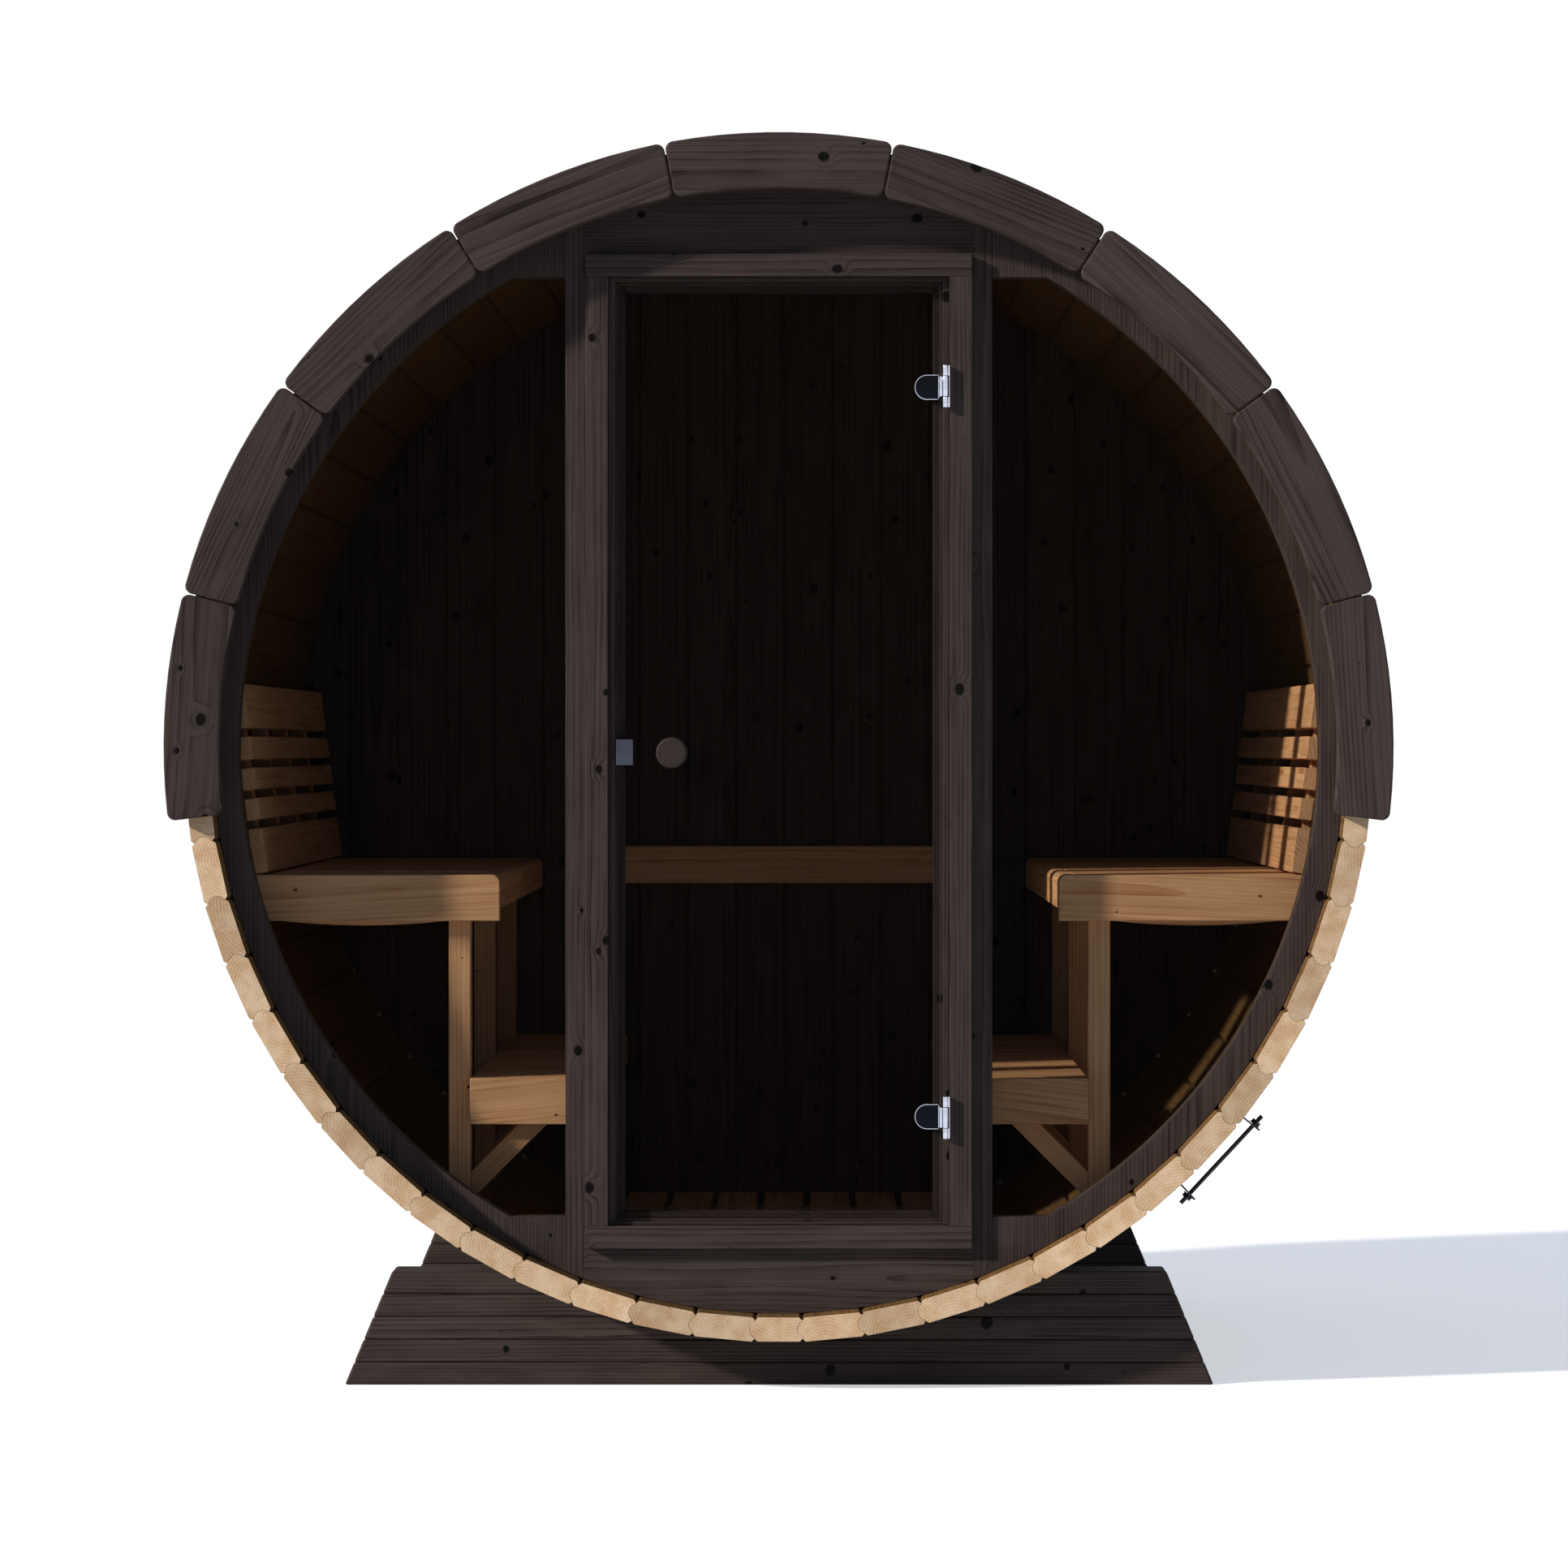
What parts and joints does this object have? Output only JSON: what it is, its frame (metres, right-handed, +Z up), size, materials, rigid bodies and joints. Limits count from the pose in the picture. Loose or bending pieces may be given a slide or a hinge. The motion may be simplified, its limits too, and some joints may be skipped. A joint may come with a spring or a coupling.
{
  "type": "barrel sauna",
  "caption": "Stave barrel sauna lying on two cradles, with a round-windowed glass front, a hinged glass door, slatted benches, footrests and backrests.",
  "frame": {"origin": "ground level under the middle of the barrel", "axes": "+Z up, barrel axis along Y, the door end faces -Y, +X to the right of someone facing the door"},
  "size_m": [2.122, 1.706, 2.1808],
  "materials": {
    "stained_spruce": "dark oil stain",
    "natural_spruce": "planed, untreated",
    "bitumen_shingle": "mineral granules",
    "band_steel": "black zinc",
    "tinted_glass": "bronze tint",
    "hinge_chrome": "polished",
    "catch_steel": "satin",
    "knob_wood": "dark oil stain"
  },
  "bodies": {
    "barrel": {"cradle_front": "stained_spruce", "cradle_rear": "stained_spruce", "fascia_front": "stained_spruce", "fascia_rear": "stained_spruce", "front_frame_left": "stained_spruce", "front_frame_right": "stained_spruce", "front_posts": "stained_spruce", "front_lintel": "stained_spruce", "front_sill": "stained_spruce", "door_casing": "stained_spruce", "door_stop": "stained_spruce", "back_wall": "stained_spruce", "staves_bottom": "natural_spruce", "staves_lower_left": "natural_spruce", "staves_upper_left": "natural_spruce", "staves_top": "natural_spruce", "staves_upper_right": "natural_spruce", "staves_lower_right": "natural_spruce", "floor_boards": "natural_spruce", "floor_bearers": "natural_spruce", "bench_left": "natural_spruce", "bench_right": "natural_spruce", "bench_frame_left": "natural_spruce", "bench_frame_right": "natural_spruce", "footrest_left": "natural_spruce", "footrest_right": "natural_spruce", "footrest_frame_left": "natural_spruce", "footrest_frame_right": "natural_spruce", "backrest_left": "natural_spruce", "backrest_right": "natural_spruce", "backrest_battens": "natural_spruce", "back_rail": "natural_spruce", "roof_left": "bitumen_shingle", "roof_right": "bitumen_shingle", "roof_ridge": "bitumen_shingle", "band_front": "band_steel", "band_rear": "band_steel", "band_tensioners": "band_steel", "window_left": "tinted_glass", "window_right": "tinted_glass", "hinge_plates": "hinge_chrome"},
    "door": {"door_glass": "tinted_glass", "door_hinges": "hinge_chrome", "door_knobs": "knob_wood", "door_catch": "catch_steel"}
  },
  "joints": [
    {"name": "door_hinge", "type": "hinge", "parent": "barrel", "child": "door", "pos_m": [0.28897, -0.796, 1.12], "axis": [0, 0, 1], "range_deg": [0, 105]}
  ]
}
